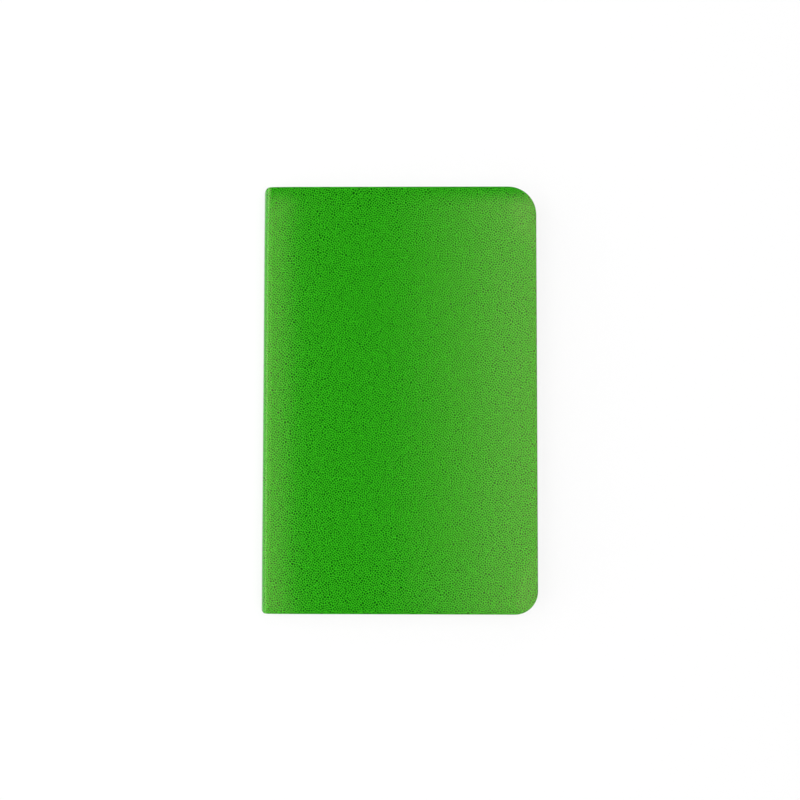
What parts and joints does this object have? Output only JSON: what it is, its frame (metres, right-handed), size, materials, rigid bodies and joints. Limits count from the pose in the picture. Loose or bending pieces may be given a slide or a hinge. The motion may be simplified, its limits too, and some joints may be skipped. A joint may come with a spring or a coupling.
{
  "type": "notebook",
  "caption": "Pocket notebook with a soft grained cover, round fore-edge corners, endpapers and thread-sewn sections that open flat.",
  "frame": {"origin": "under the middle of the closed notebook, on the surface that its back cover lies on", "axes": "+X from the spine to the fore-edge, +Y from the tail to the head, +Z from the back cover to the front cover"},
  "size_m": [0.09, 0.14, 0.008],
  "materials": {
    "cover": "fine pebble-grained leatherette, satin",
    "endpaper": "plain uncoated endpaper",
    "page": "plain uncoated writing paper",
    "lining": "open-weave spine lining",
    "thread": "waxed sewing thread"
  },
  "bodies": {
    "back_cover": {"back_cover": "cover", "back_pastedown": "endpaper"},
    "back_half": {"spine_cover": "cover", "spine_lining": "lining", "back_flyleaf": "endpaper", "section_5_sheet_1": "page", "section_5_sheet_2": "page", "section_5_sheet_3": "page", "section_5_sheet_4": "page", "section_4_sheet_1": "page", "section_4_sheet_2": "page", "section_4_sheet_3": "page", "section_4_sheet_4": "page", "section_3_sheet_1_back_leaf": "page", "section_3_sheet_2_back_leaf": "page", "sewing_thread_3": "thread", "sewing_thread_4": "thread", "sewing_thread_5": "thread"},
    "front_half": {"front_flyleaf": "endpaper", "section_1_sheet_1": "page", "section_1_sheet_2": "page", "section_1_sheet_3": "page", "section_1_sheet_4": "page", "section_2_sheet_1": "page", "section_2_sheet_2": "page", "section_2_sheet_3": "page", "section_2_sheet_4": "page", "section_3_sheet_1_front_leaf": "page", "section_3_sheet_2_front_leaf": "page", "sewing_thread_1": "thread", "sewing_thread_2": "thread"},
    "front_cover": {"front_cover": "cover", "front_pastedown": "endpaper"},
    "third_back_leaf": {"section_3_sheet_3_back_leaf": "page"},
    "centre_back_leaf": {"section_3_sheet_4_back_leaf": "page"},
    "third_front_leaf": {"section_3_sheet_3_front_leaf": "page"},
    "centre_front_leaf": {"section_3_sheet_4_front_leaf": "page"}
  },
  "joints": [
    {"name": "back_cover_fold", "type": "hinge", "parent": "back_cover", "child": "back_half", "pos_m": [-0.04397, 0, 0.00117], "axis": [0, 1, 0], "range_deg": [-90, 0], "deforming": ["spine_cover"]},
    {"name": "centre_opening", "type": "hinge", "parent": "back_half", "child": "front_half", "pos_m": [-0.04404, 0, 0.00401], "axis": [0, -1, 0], "range_deg": [0, 179], "deforming": ["spine_lining"]},
    {"name": "front_cover_fold", "type": "hinge", "parent": "front_half", "child": "front_cover", "pos_m": [-0.04, 0, 0.00817], "axis": [0, -1, 0], "range_deg": [0, 179]},
    {"name": "third_back_leaf_lift", "type": "hinge", "parent": "back_half", "child": "third_back_leaf", "pos_m": [-0.04345, 0, 0.00401], "axis": [0, -1, 0], "range_deg": [0, 7.3]},
    {"name": "centre_back_leaf_lift", "type": "hinge", "parent": "back_half", "child": "centre_back_leaf", "pos_m": [-0.04334, 0, 0.00401], "axis": [0, -1, 0], "range_deg": [0, 14.5]},
    {"name": "third_front_leaf_lift", "type": "hinge", "parent": "front_half", "child": "third_front_leaf", "pos_m": [-0.04345, 0, 0.00401], "axis": [0, 1, 0], "range_deg": [0, 7.3]},
    {"name": "centre_front_leaf_lift", "type": "hinge", "parent": "front_half", "child": "centre_front_leaf", "pos_m": [-0.04334, 0, 0.00401], "axis": [0, 1, 0], "range_deg": [0, 14.5]}
  ],
  "couplings": [
    {"joint": "third_back_leaf_lift", "follows": "centre_opening", "ratio": 0.04},
    {"joint": "centre_back_leaf_lift", "follows": "centre_opening", "ratio": 0.08},
    {"joint": "third_front_leaf_lift", "follows": "centre_opening", "ratio": 0.04},
    {"joint": "centre_front_leaf_lift", "follows": "centre_opening", "ratio": 0.08}
  ]
}
